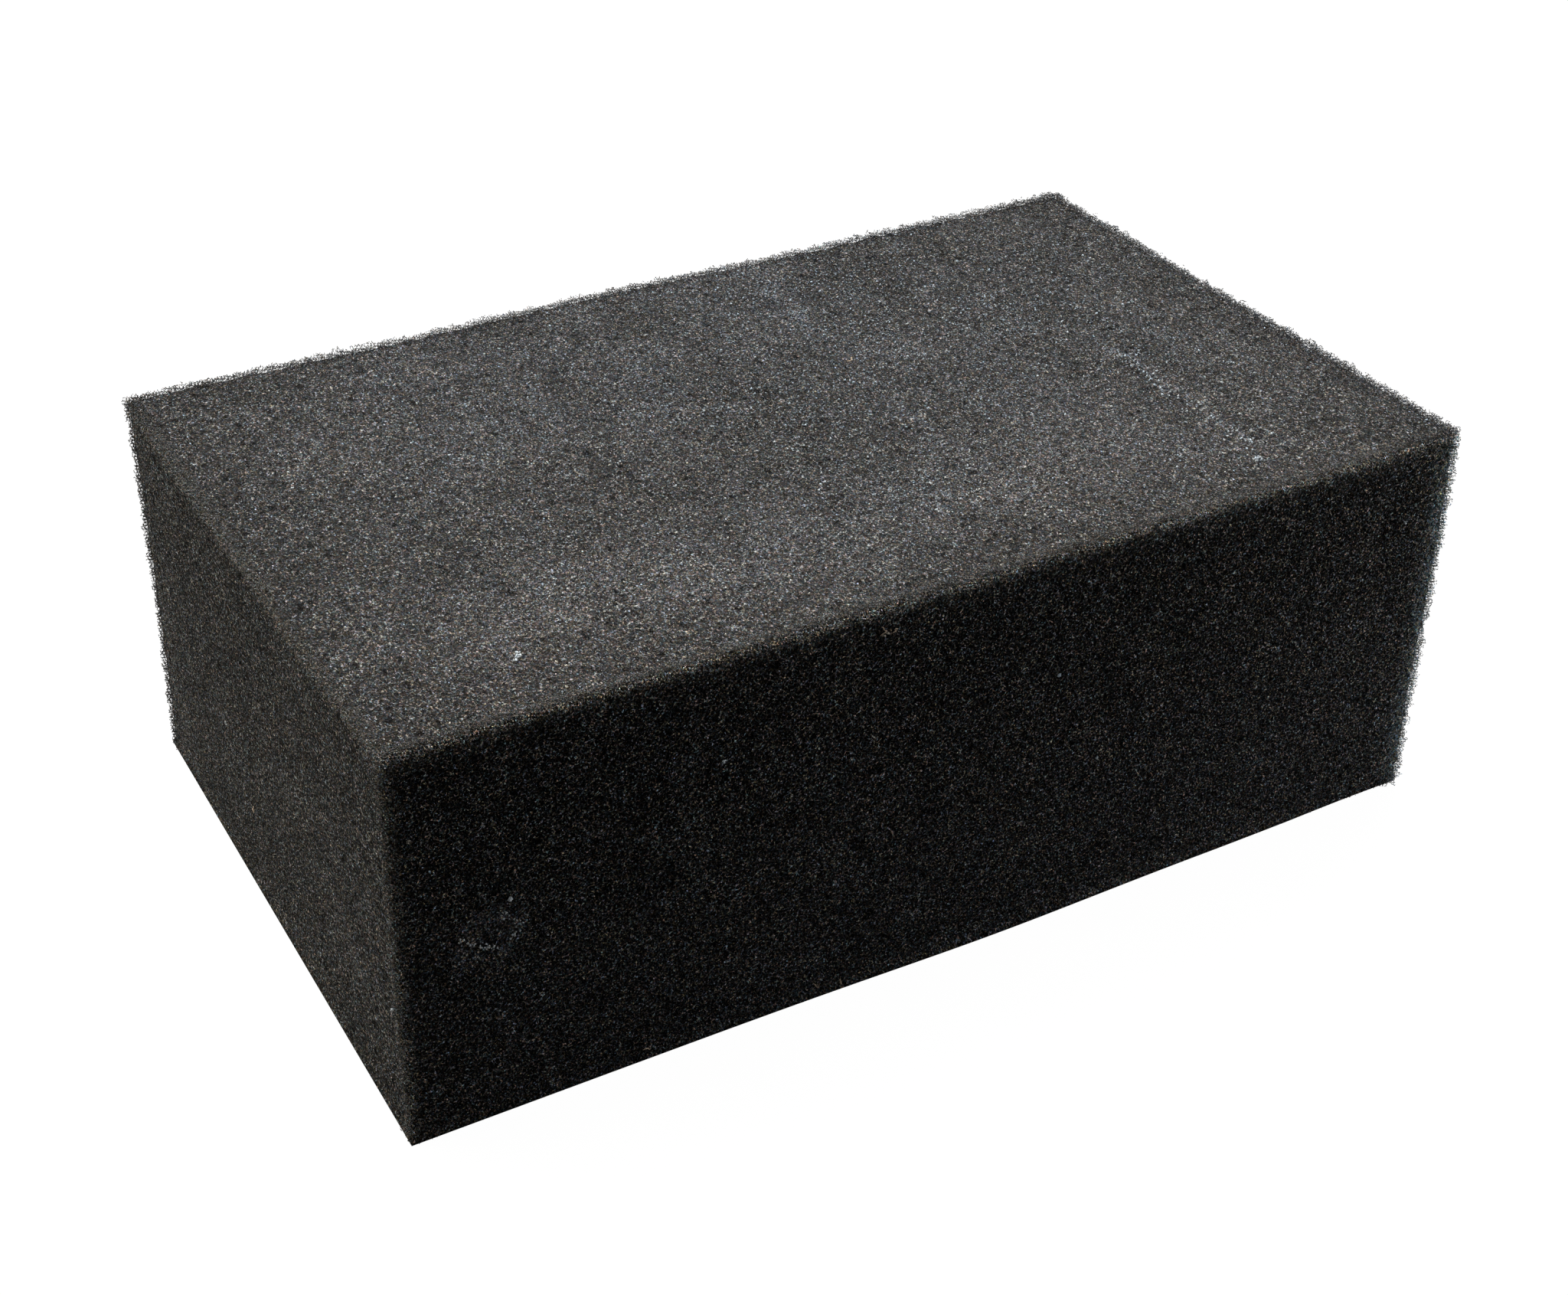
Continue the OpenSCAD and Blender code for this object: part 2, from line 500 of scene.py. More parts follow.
front_strut = mapped(cells, front_rings.outputs["Distance"], thickness, 0.02)
ring_links["Vector"] = vector_of(cells, "ADD", wobbled, (0.43, 0.31, 0.57))
ring_links["Scale"] = sum_of(cells, "MULTIPLY", cell_scale, 1.3)
behind_rings = put(cells, "ShaderNodeTexVoronoi", ring_links, feature="DISTANCE_TO_EDGE")
behind_strut = mapped(cells, behind_rings.outputs["Distance"], thickness, 0.02)
grain_shares, _ = shares_at(cells, wobbled, 0.27)
# Painted highlight: a few grains of the front rings are made several times brighter, as lit struts.
lit = sum_of(cells, "POWER", grain_shares[0], 3.0)
front_part = sum_of(cells, "MULTIPLY", front_strut, sum_of(cells, "MULTIPLY_ADD", lit, 5.2, 0.12))
behind_part = sum_of(cells, "MULTIPLY", behind_strut, sum_of(cells, "MULTIPLY", grain_shares[1], 0.5))
strut = sum_of(cells, "MAXIMUM", front_part, behind_part)
# Painted shade: some larger holes darken the struts and the hollow, as shaded pits.
hole_links = {"Vector": wobbled, "Scale": 0.62, "Randomness": 1.0}
hole_cells = put(cells, "ShaderNodeTexVoronoi", hole_links, feature="F1")
hole_share = put(cells, "ShaderNodeSeparateColor", {0: hole_cells.outputs["Color"]}).outputs[0]
hole = mapped(cells, hole_cells.outputs["Distance"], 0.42, 0.22)
hole = sum_of(cells, "MULTIPLY", hole, sum_of(cells, "GREATER_THAN", hole_share, 0.72))
strut = sum_of(cells, "MULTIPLY", strut, sum_of(cells, "MULTIPLY_ADD", hole, -0.75, 1.0))
height = sum_of(cells, "MULTIPLY_ADD", grain_shares[2], 0.6, front_strut)
height = sum_of(cells, "SUBTRACT", height, hole)
cells.links.new(strut, cells_out.inputs["Strut"])
cells.links.new(sum_of(cells, "MULTIPLY_ADD", hole, -0.7, 1.0), cells_out.inputs["Hollow"])
cells.links.new(height, cells_out.inputs["Height"])

# Dust and painted light: mortar dust greys the struts and fills the hollows,
# and the same pale share also carries the painted rim and bounce light. The
# leaked light near the edges is painted on, pale specks are partly dust grains
# and partly painted glints, and each grain gets a random brightness as painted
# glints. Each grain of the surface, bare or dusty, throws back the light with a
# slight hue of its own.
dust_light_group, dust_light_group_in, dust_light_group_out = new_group(
    "dust_and_light_on_foam",
    [("Place", "vector", None), ("Foam", "colour", None), ("Dust_and_light", "value", 0.0),
     ("Warmth", "value", 0.5), ("Leak_light", "value", 0.0), ("Strut", "value", 1.0),
     ("Glint", "value", 0.5)],
    [("Colour", "colour")],
)
at = dust_light_group_in.outputs["Place"]
dust_and_light_in = dust_light_group_in.outputs["Dust_and_light"]
grain = mapped(dust_light_group, noise_at(dust_light_group, at, 1.3, 3.0, 0.8), 0.3, 0.75)
raised = sum_of(dust_light_group, "MINIMUM", dust_light_group_in.outputs["Strut"], 1.2)
caught = sum_of(dust_light_group, "MULTIPLY_ADD", raised, 0.72, 0.13)
dust_and_light_share = sum_of(dust_light_group, "MULTIPLY", dust_and_light_in, caught)
dust_and_light_share = sum_of(dust_light_group, "MULTIPLY", dust_and_light_share, grain, clamp=True)
warmth_in = dust_light_group_in.outputs["Warmth"]
dust_and_light_colour = mixed(dust_light_group, warmth_in, rgb(0.338, 0.356, 0.396), rgb(0.395, 0.361, 0.338))
# Painted light: the light leaked in past the edges is added to the foam's colour, more on the struts.
leak_light_share = sum_of(dust_light_group, "MULTIPLY_ADD", raised, 0.9, 0.35)
leak_light_share = sum_of(dust_light_group, "MULTIPLY", leak_light_share, dust_light_group_in.outputs["Leak_light"])
leak_light_hue = mixed(dust_light_group, warmth_in, rgb(0.28, 0.33, 0.335), rgb(0.345, 0.328, 0.285))
leak_light_colour = vector_of(dust_light_group, "SCALE", leak_light_hue, Scale=leak_light_share)
paler = vector_of(dust_light_group, "ADD", dust_light_group_in.outputs["Foam"], leak_light_colour)
dusty_and_lit = mixed(dust_light_group, dust_and_light_share, paler, dust_and_light_colour)
# Painted glints: pale bluish specks, more where the dust is thick, partly dust grains and partly glints.
spark_shares, sparks = shares_at(dust_light_group, at, 0.36)
spark_odds = mapped(dust_light_group, dust_and_light_in, 0.05, 0.8, 0.997, 0.93, smooth=False)
spark = sum_of(dust_light_group, "GREATER_THAN", spark_shares[1], spark_odds)
spark = sum_of(dust_light_group, "MULTIPLY", spark, mapped(dust_light_group, sparks.outputs["Distance"], 0.6, 0.25))
dusty_and_lit = mixed(dust_light_group, sum_of(dust_light_group, "MULTIPLY", spark, 0.8), dusty_and_lit, rgb(0.60, 0.635, 0.68))
own_shares, _ = shares_at(dust_light_group, at, 0.26)
glint_in = dust_light_group_in.outputs["Glint"]
swing = sum_of(dust_light_group, "MULTIPLY_ADD", glint_in, 0.35, 0.32)
hue_by = sum_of(dust_light_group, "MULTIPLY_ADD", sum_of(dust_light_group, "SUBTRACT", own_shares[0], 0.5), swing, 0.5)
hue = mixed(dust_light_group, hue_by, rgb(1.62, 1.00, 0.42), rgb(0.42, 1.00, 1.58))
tint_by = sum_of(dust_light_group, "MULTIPLY_ADD", sum_of(dust_light_group, "SUBTRACT", own_shares[1], 0.5), swing, 0.5)
tint = mixed(dust_light_group, tint_by, rgb(0.80, 1.14, 0.84), rgb(1.20, 0.86, 1.16))
dusty_and_lit = mixed(dust_light_group, 1.0, dusty_and_lit, hue, "MULTIPLY")
dusty_and_lit = mixed(dust_light_group, 1.0, dusty_and_lit, tint, "MULTIPLY")
# Painted glints: a random brightness for each grain, strongest where the Glint input is high, on the
# long sides.
squared = sum_of(dust_light_group, "MULTIPLY", own_shares[2], own_shares[2])
gain = sum_of(dust_light_group, "MULTIPLY_ADD", squared, 3.0, -1.0)
gain = sum_of(dust_light_group, "MULTIPLY_ADD", gain, glint_in, 1.0)
dusty_and_lit = vector_of(dust_light_group, "SCALE", dusty_and_lit, Scale=gain)
dust_light_group.links.new(dusty_and_lit, dust_light_group_out.inputs["Colour"])


def painted(tree, name):
    """The value that was painted on the mesh under this name."""
    return put(tree, "ShaderNodeAttribute", attribute_name=name).outputs["Fac"]


def foam_material(name):
    """A material with its places in millimetres, drawn out along the foam's rise, and its shader."""
    made = bpy.data.materials.new(name)
    made.use_nodes = True
    tree = made.node_tree
    tree.nodes.clear()
    place = put(tree, "ShaderNodeTexCoord").outputs["Object"]
    place = vector_of(tree, "MULTIPLY", place, tuple(1000.0 / foam_rise))
    shader = put(tree, "ShaderNodeBsdfPrincipled")
    put(tree, "ShaderNodeOutputMaterial", {"Surface": shader.outputs[0]})
    return made, tree, place, shader


def dusted_and_lit_over(tree, place, bare, strut):
    """The bare foam's colour with the dust, the painted leaked light and the painted glints, from the
    values painted on its mesh.
    """
    links = {"Place": place, "Foam": bare, "Strut": strut}
    for label in ("Dust_and_light", "Warmth", "Leak_light"):
        links[label] = painted(tree, label.lower())
    links["Glint"] = mapped(tree, painted(tree, "light_reach"), 0.0, 1.0, 0.85, 0.28)
    return placed(tree, dust_light_group, links).outputs["Colour"]


foam, tree, place, shader = foam_material("black_open_cell_foam")
walls = placed(tree, cells, {"Place": place, "Cell": 0.66, "Strut": 0.17}).outputs
# Painted shade by side: hollows near black on the long sides and dark grey on the top and the ends, and
# the long sides' struts a little brighter.
open_to_light = sum_of(tree, "POWER", painted(tree, "light_reach"), 1.4)
hollow_shade_colour = mixed(tree, open_to_light, rgb(0.0006, 0.0006, 0.0006), rgb(0.0240, 0.0238, 0.0228))
strut_colour = rgb(0.083, 0.082, 0.079)
bright_struts = mapped(tree, painted(tree, "light_reach"), 0.0, 1.0, 1.10, 1.0, smooth=False)
bright_struts = sum_of(tree, "MULTIPLY", bright_struts, walls["Strut"])
strut_lit = vector_of(tree, "SCALE", strut_colour[:3], Scale=bright_struts)
painted_hollow_shade = vector_of(tree, "SCALE", hollow_shade_colour, Scale=walls["Hollow"])
foam_colour = vector_of(tree, "ADD", strut_lit, painted_hollow_shade)
tone_by = mapped(tree, noise_at(tree, place, 0.09), 0.3, 0.7, 0.88, 1.1)
patches = mapped(tree, noise_at(tree, place, 0.45, 3.0), 0.3, 0.7, 0.90, 1.10)
tone_by = sum_of(tree, "MULTIPLY", tone_by, patches)
# Painted shade: the deeper pits of the skin are a little darker.
pit_shade = mapped(tree, painted(tree, "pit"), 0.1, 1.0, 1.06, 0.86)
tone_by = sum_of(tree, "MULTIPLY", tone_by, pit_shade)
toned = vector_of(tree, "SCALE", foam_colour, Scale=tone_by)
tree.links.new(dusted_and_lit_over(tree, place, toned, walls["Strut"]), shader.inputs["Base Color"])
tree.links.new(mapped(tree, walls["Strut"], 0.0, 1.5, 0.95, 0.62), shader.inputs["Roughness"])
bumps = put(tree, "ShaderNodeBump", {"Height": walls["Height"], "Strength": 1.0, "Distance": 0.00022})
tree.links.new(bumps.outputs["Normal"], shader.inputs["Normal"])
shader.inputs["Specular IOR Level"].default_value = 0.04
block.data.materials.append(foam)

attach(block, "root")
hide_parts("foam_block")


# ---------------------------------------------------------------- standing struts
# The cut leaves the outermost cells open, and their thin struts stand free: all
# over the block, and thickest along the twelve edges, where the wire tore them.
# Each is a four-faced sliver of foam between cells packed like shaken soap froth.

froth_shake = 0.25
stand_up = 0.55
froth_turn = np.array(Matrix.Rotation(0.62, 3, (0.35, 0.81, 0.47)))
strut_width = 0.15 * mm
off_table = 0.01 * mm
tile = 14 * mm
# Larger than any lattice number, so that three of them make one code.
key_shift = 9000
key_span = 20000
waviness = 0.4 * mm


def shares_of(keys, salt):
    """Three even random shares for each lattice point, always the same for it."""
    mix = keys[:, 0] * 73856093 ^ keys[:, 1] * 19349663 ^ keys[:, 2] * 83492791
    shares = []
    for k in range(3):
        h = (mix + (salt + k) * 2654435761) & 0xFFFFFFFF
        h = ((h ^ (h >> 15)) * 2246822519) & 0xFFFFFFFF
        h = ((h ^ (h >> 13)) * 3266489917) & 0xFFFFFFFF
        shares.append((h ^ (h >> 16)) / 0xFFFFFFFF)
    return np.stack(shares, axis=1)


def froth_repeat():
    """One repeat of the froth, in quarters of its cell: each strut's two ends."""
    struts = []
    for zero, odd in np.ndindex(3, 3):
        if odd == zero:
            continue
        two = 3 - zero - odd
        for odd_at, step in ((1, -1), (1, 1), (3, -1), (3, 1)):
            tip = np.zeros(3, int)
            tip[odd], tip[two] = odd_at, 2
            across, along = tip.copy(), tip.copy()
            across[zero], across[odd] = step, 0 if odd_at == 1 else 4
            along[two], along[odd] = 2 + step, 2
            struts += [(tip, across), (tip, along)]
    return np.array(struts)


def each_once(keys):
    """The same struts without repeats: no two struts have the same middle."""
    middles = keys.sum(1) + key_shift
    code = (middles[:, 0] * key_span + middles[:, 1]) * key_span + middles[:, 2]
    return keys[np.unique(code, return_index=True)[1]]


def froth_in(low, high, cell, above, below):
    """The struts close to the cuts in a box, each once, as whole quarter cells."""
    repeat = froth_repeat()
    box = np.array(list(np.ndindex(2, 2, 2)))
    steps = [np.arange(a, b, tile) for a, b in zip(low, high)]
    found = []
    for corner in np.stack(np.meshgrid(*steps, indexing="ij"), -1).reshape(-1, 3):
        far = np.minimum(corner + tile, high)
        turned = (corner + box * (far - corner)) / foam_rise @ froth_turn / cell
        first, last = np.floor(turned.min(0)).astype(int), np.ceil(turned.max(0)).astype(int)
        spans = [np.arange(p, q + 1) for p, q in zip(first, last)]
        here = np.stack(np.meshgrid(*spans, indexing="ij"), -1).reshape(-1, 3)
        at = here * cell @ froth_turn.T * foam_rise
        inside = np.all((at > corner - 1.4 * cell) & (at < far + 1.4 * cell), axis=1)
        depths = rough_depth(at[inside])
        inside[inside] = (depths > -above - 1.5 * cell) & (depths < below + 1.5 * cell)
        keys = (here[inside][:, None, None] * 4 + repeat[None]).reshape(-1, 2, 3)
        found.append(keys)
    keys = np.concatenate(found)
    middles = keys.sum(1) / 2 * cell / 4 @ froth_turn.T * foam_rise
    depths = rough_depth(middles)
    keys = keys[(depths > -above) & (depths < below)]
    return each_once(keys)


def froth_place(keys, cell):
    """Where a corner of the froth stands, in metres, after the shake."""
    shake = (shares_of(keys, 5) - 0.5) * froth_shake * cell
    return (keys * cell / 4 @ froth_turn.T + shake) * foam_rise


def four_faces(count):
    """The faces of this many closed four-cornered slivers or chips."""
    first = np.arange(count)[:, None, None] * 4
    return (first + np.array([[0, 1, 2], [0, 3, 1], [0, 2, 3], [1, 3, 2]])).reshape(-1, 3)


def slivers(tips, overs, width, turn):
    """Closed four-faced slivers from tip to over: points and faces."""
    along = overs - tips
    along /= np.linalg.norm(along, axis=1)[:, None]
    side = np.cross(along, turn)
    side /= np.linalg.norm(side, axis=1)[:, None]
    other = np.cross(along, side)
    half = width[:, None] / 2
    points = np.stack([tips + side * half, tips - side * half,
                       overs + other * half, overs - other * half], axis=1)
    return points.reshape(-1, 3), four_faces(len(tips))


def strut_piece(name, boxes, cell, depth, height, chance, seed, most):
    """One piece of struts from the boxes' froth, kept by the chance function."""
    above, below = 1.5 * height + waviness, depth + waviness
    keys = np.concatenate([froth_in(np.array(a), np.array(b), cell, above, below) for a, b in boxes])
    keys = each_once(keys)
    tips, overs = froth_place(keys[:, 0], cell), froth_place(keys[:, 1], cell)
    centres = (tips + overs) / 2
    luck = shares_of(keys.sum(1), 30 + seed)
    likely = luck[:, 0] < chance(centres)
    likely &= (tips[:, 2] > 2 * off_table) & (overs[:, 2] > 2 * off_table)
    keys, tips, overs, centres, luck = (x[likely] for x in (keys, tips, overs, centres, luck))
    near, out = on_surface(centres)
    above = np.einsum("ij,ij->i", centres - near, out)
    along = overs - tips
    upright = np.abs(np.einsum("ij,ij->i", along, out)) / np.linalg.norm(along, axis=1)
    ragged = height * (0.1 + 1.8 * soft_noise(centres, 1.0 * mm, seed))
    keep = (above > -depth) & (above < ragged) & (luck[:, 2] > 0.55 * ramp(above, 0, height))
    chosen = np.flatnonzero(keep)
    if len(chosen) > most:
        worth = luck[chosen, 1] - stand_up * upright[chosen]
        chosen = np.sort(chosen[np.argsort(worth)[:most]])
    width = strut_width * (0.7 + 0.6 * luck[chosen, 2])
    points, faces = slivers(tips[chosen], overs[chosen], width, shares_of(keys[chosen, 0], 60) - 0.5)
    points[:, 2] = np.maximum(points[:, 2], off_table)
    # Each strut has its own small square on the flat pattern.
    across = int(math.ceil(math.sqrt(len(chosen))))
    square = np.stack([np.arange(len(chosen)) % across, np.arange(len(chosen)) // across], -1)
    square_corners = np.array([[0.15, 0.15], [0.85, 0.15], [0.85, 0.85], [0.15, 0.85]])
    flats = (square[:, None] + square_corners[None]).reshape(-1, 2) / across
    made = new_mesh(name, points, faces, flats[faces.ravel()])
    foot, lean = near[chosen], out[chosen]
    # The depth value paints shade on the sunk struts, and the standing value paints light on those that
    # stand out.
    for label, values in (
        ("dust_and_light", pale_dust_and_light(foot, lean)), ("warmth", dust_and_light_warmth(foot)),
        ("leak_light", soaked_light(foot, lean)), ("depth", np.clip(-above[chosen] / depth, 0, 1)),
        ("standing_light", ramp(above[chosen], 0, 0.45 * mm)),
        ("strut_tone", (luck[chosen, 0] * 7919.0) % 1.0), ("light_reach", light_into_cells(lean)),
    ):
        paint(made, label, np.repeat(values, 4))
    made.data.materials.append(torn)
    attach(made, "root")
    return made


torn, tree, place, shader = foam_material("torn_foam_struts")
# Painted light and shade on the struts: a random few much brighter, as lit, those sunk below the surface
# darker as shade, and those standing out paler as rim light.
tone_here = painted(tree, "strut_tone")
lit = sum_of(tree, "POWER", tone_here, 2.6)
tone_by = sum_of(tree, "MULTIPLY", mapped(tree, lit, 0.0, 1.0, 0.2, 2.4, smooth=False),
                 mapped(tree, painted(tree, "depth"), 0.0, 1.0, 1.1, 0.6, smooth=False))
tone_by = sum_of(tree, "ADD", tone_by, sum_of(tree, "MULTIPLY", painted(tree, "standing_light"), 0.4))
toned = vector_of(tree, "SCALE", strut_colour[:3], Scale=tone_by)
tree.links.new(dusted_and_lit_over(tree, place, toned, tone_by), shader.inputs["Base Color"])
tree.links.new(mapped(tree, tone_here, 0.0, 1.0, 0.9, 0.62), shader.inputs["Roughness"])
shader.inputs["Specular IOR Level"].default_value = 0.08

edge_cell = 0.75 * mm
face_cell = 1.0 * mm
edge_full = 1.0 * mm
edge_end = 2.2 * mm


def by_edges(points):
    """The chance of a strut at each point: sure at the edges, none further in."""
    return 1 - ramp(from_edge(points), edge_full, edge_end)


def over_faces(points):
    """The chance of a strut on a face, where the edges' own struts leave off."""
    return ramp(from_edge(points), edge_full, edge_end)


def over_sides(points):
    """The same with half as many struts, for the ends and the long sides."""
    return 0.5 * over_faces(points)


def edge_boxes(axis):
    """A box round each of the four edges that run along an axis."""
    ends = np.moveaxis(corners, axis, 0).reshape(2, 4, 3)
    pad = edge_end + 0.6 * mm
    return [(np.minimum(a, b) - pad, np.maximum(a, b) + pad) for a, b in zip(*ends)]


def face_box(axis, side, first=0.0, last=1.0):
    """A thin box round one of the six sides, or round a share of its length."""
    four = np.take(corners, side, axis=axis).reshape(4, 3)
    low, high = four.min(0) - 0.8 * mm, four.max(0) + 0.8 * mm
    low[0], high[0] = low[0] + (high[0] - low[0]) * first, low[0] + (high[0] - low[0]) * last
    return low, high


half_up = (cad_low.z + cad_high.z) / 2
level_boxes = edge_boxes(0) + edge_boxes(1)
top_boxes = [b for b in level_boxes if b[0][2] > half_up]
base_boxes = [b for b in level_boxes if b[0][2] < half_up]
fuzz = 0.73 * mm
short_fuzz = 0.45 * mm
edge_depth = 0.13 * mm
face_depth = 0.20 * mm
low_fuzz = 0.12 * mm
strut_piece("torn_cells_top", top_boxes, edge_cell, edge_depth, fuzz, by_edges, 1, 42500)
uprights = edge_boxes(2)
strut_piece("torn_cells_left", uprights[:2], edge_cell, edge_depth, short_fuzz, by_edges, 2, 10200)
strut_piece("torn_cells_right", uprights[2:], edge_cell, edge_depth, fuzz, by_edges, 2, 10300)
strut_piece("torn_cells_base", base_boxes, edge_cell, face_depth, low_fuzz, by_edges, 3, 8000)
top_halves = ("left", 0, 0.5), ("right", 0.5, 1)
for seed, (half, first, last) in enumerate(top_halves, 4):
    half_box = [face_box(2, 1, first, last)]
    top_name = "open_cells_top_" + half
    strut_piece(top_name, half_box, face_cell, face_depth, low_fuzz, over_faces, seed, 41500)
ends = [face_box(0, 0), face_box(0, 1)]
strut_piece("open_cells_ends", ends, face_cell, face_depth, low_fuzz, over_sides, 6, 23500)
sides = [face_box(1, 0), face_box(1, 1)]
strut_piece("open_cells_sides", sides, face_cell, face_depth, low_fuzz, over_sides, 7, 32500)


# ---------------------------------------------------------------- mortar dust
# The largest grains of the pale dust sit on the struts of the top, most of all
# where the dust is thick, and a few cling to the sides. Each is a four-faced chip.

def chips(middles, sizes, seed):
    """Four-faced chips of these sizes, each turned and stretched at random: points and faces."""
    rng = np.random.default_rng(seed)
    tetra = np.array([[1, 1, 1], [1, -1, -1], [-1, 1, -1], [-1, -1, 1]]) / math.sqrt(3)
    turns = np.linalg.qr(rng.normal(size=(len(middles), 3, 3)))[0]
    turns[np.linalg.det(turns) < 0] *= -1
    stretch = rng.uniform(0.7, 1.3, (len(middles), 1, 3))
    points = (tetra * stretch) @ turns * sizes[:, None, None] / 2 + middles[:, None]
    return points.reshape(-1, 3), four_faces(len(middles))


def face_points(count, axis, side, seed):
    """Random points on one of the six sides, with the outward normal at each."""
    shares = np.random.default_rng(seed).random((count, 3))
    shares[:, axis] = side
    return on_surface(block_point(shares))


def grain_piece(name, middles, sizes, tones, warmths, material, seed):
    """One piece of chips, each with its own tone and hue."""
    points, faces = chips(middles, sizes, seed)
    points[:, 2] = np.maximum(points[:, 2], off_table)
    made = new_mesh(name, points, faces)
    paint(made, "tone", np.repeat(tones, 4))
    paint(made, "warmth", np.repeat(warmths, 4))
    made.data.materials.append(material)
    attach(made, "root")
    return made


mortar, tree, place, shader = foam_material("pale_mortar_dust")
mortar_hue = mixed(tree, painted(tree, "warmth"), rgb(0.51, 0.61, 0.70), rgb(0.64, 0.59, 0.50))
mottle = mapped(tree, noise_at(tree, place, 3.0, 3.0, 0.7), 0.3, 0.7, 0.75, 1.15)
mottle = sum_of(tree, "MULTIPLY", mottle, painted(tree, "tone"))
mortar_colour = vector_of(tree, "SCALE", mortar_hue, Scale=mottle)
tree.links.new(mortar_colour, shader.inputs["Base Color"])
shader.inputs["Roughness"].default_value = 0.9
shader.inputs["Specular IOR Level"].default_value = 0.2

grain_count = 7000
grain_places, grain_out = face_points(40000, 2, 1, 41)
grain_luck = np.random.default_rng(42)
settled = grain_luck.random(len(grain_places)) < 0.9 * pale_dust_and_light(grain_places, grain_out) ** 2
grain_places, grain_out = grain_places[settled][:grain_count], grain_out[settled][:grain_count]
side_places, side_out = face_points(260, 1, 0, 43)
end_places, end_out = face_points(120, 0, 0, 44)
grain_places = np.concatenate([grain_places, side_places, end_places])
grain_out = np.concatenate([grain_out, side_out, end_out])
on_top = grain_out[:, 2] > 0.7
grain_rolls = grain_luck.random((len(grain_places), 4))
grain_size = (0.28 + 0.40 * grain_rolls[:, 0] ** 2) * mm
grain_places = grain_places + grain_out * (grain_rolls[:, 1] * 0.25 - 0.10)[:, None] * mm
grain_tone = np.where(on_top, 0.36 + 0.84 * grain_rolls[:, 2] ** 1.8, 0.35)
grain_piece("mortar_dust_grains", grain_places, grain_size, grain_tone,
            np.clip(dust_and_light_warmth(grain_places) + 0.5 * (grain_rolls[:, 3] - 0.5), 0, 1), mortar, 45)


# ---------------------------------------------------------------- crumbs and fibres
# Dried crumbs of mortar, caught here and there since the last job, and a few
# short brown fibres from the floor. The crumbs are small heaps of chips.

# Each trail of crumbs: the cut it is on, where it starts and ends along that
# cut in mm, how far it spreads, how many chips it has, how large, pale and buff.
crumbs = (
    ("top", (-73.2, -47.5), (-73.3, -49.4), 0.14, 12, 0.60, 1.15, 0.4),
    ("top", (-73.3, -49.4), (-74.6, -50.3), 0.14, 9, 0.60, 1.00, 0.4),
    ("top", (-74.2, -48.7), (-74.5, -49.0), 0.15, 3, 0.50, 0.60, 0.5),
    ("top", (-68.6, -45.0), (-68.0, -45.8), 0.25, 8, 0.60, 0.30, 1.0),
    ("top", (67.0, -2.0), (68.2, -12.5), 0.8, 13, 0.45, 0.80, 0.1),
    ("top", (68.2, -12.5), (66.5, -19.4), 0.5, 14, 0.45, 0.90, 0.1),
    ("top", (66.5, -19.4), (65.5, -24.6), 0.4, 7, 0.55, 1.10, 0.2),
    ("top", (65.5, -24.6), (66.6, -36.2), 0.8, 12, 0.48, 1.00, 0.3),
    ("top", (66.6, -36.2), (67.6, -46.4), 1.2, 12, 0.45, 0.90, 0.2),
    ("top", (67.6, -46.4), (65.5, -50.5), 0.8, 8, 0.50, 1.10, 0.2),
    ("top", (64.9, -53.2), (64.3, -54.2), 0.5, 12, 0.60, 0.80, 0.3),
    ("top", (81.3, -13.0), (81.9, -14.2), 0.3, 3, 0.55, 1.10, 0.2),
    ("top", (83.0, -20.0), (84.8, -21.2), 0.5, 8, 0.45, 0.80, 0.2),
    ("top", (72.5, -46.7), (72.9, -47.1), 0.2, 2, 0.60, 1.10, 0.3),
    ("top", (53.8, -45.6), (54.6, -47.0), 0.6, 9, 0.45, 0.90, 0.2),
    ("top", (67.8, -22.5), (68.0, -22.9), 0.2, 2, 0.60, 1.10, 0.3),
    ("front", (-91.8, 38.2), (-89.0, 35.6), 0.30, 13, 0.40, 1.50, 0.5),
    ("front", (-89.0, 35.6), (-86.0, 34.3), 0.25, 15, 0.44, 1.80, 0.5),
    ("front", (-83.7, 34.5), (-81.8, 36.4), 0.30, 9, 0.42, 1.70, 0.4),
    ("front", (-82.0, 37.5), (-85.5, 41.8), 0.35, 14, 0.40, 1.50, 0.4),
    ("front", (-83.2, 42.6), (-82.8, 42.6), 0.05, 6, 0.80, 2.00, 0.4),
    ("front", (18.2, 51.2), (18.4, 51.2), 0.10, 3, 0.60, 1.60, 0.0),
    ("front", (-46.1, 55.7), (-45.9, 55.7), 0.10, 3, 0.60, 1.60, 0.5),
    ("front", (27.6, 31.1), (27.8, 31.1), 0.10, 3, 0.55, 1.40, 0.4),
    ("front", (92.3, 60.4), (92.7, 60.6), 0.15, 4, 0.60, 1.50, 0.4),
    ("front", (-98.6, 59.1), (-98.2, 59.3), 0.15, 4, 0.50, 0.90, 1.0),
    ("front", (-16.8, 70.2), (-16.2, 70.4), 0.15, 4, 0.45, 1.20, 1.0),
    ("end", (-60.6, 25.7), (-60.4, 26.1), 0.12, 5, 0.60, 1.00, 0.4),
    ("end", (20.0, 31.0), (20.3, 31.0), 0.10, 2, 0.50, 0.80, 0.6),
)


def place_on(cut, across, other):
    """The point of a cut at two places along it, in mm, and the normal there."""
    outside = {"top": (across, other, 90), "front": (across, -75, other), "end": (-115, across, other)}
    return on_surface(np.array([outside[cut]]) * mm)


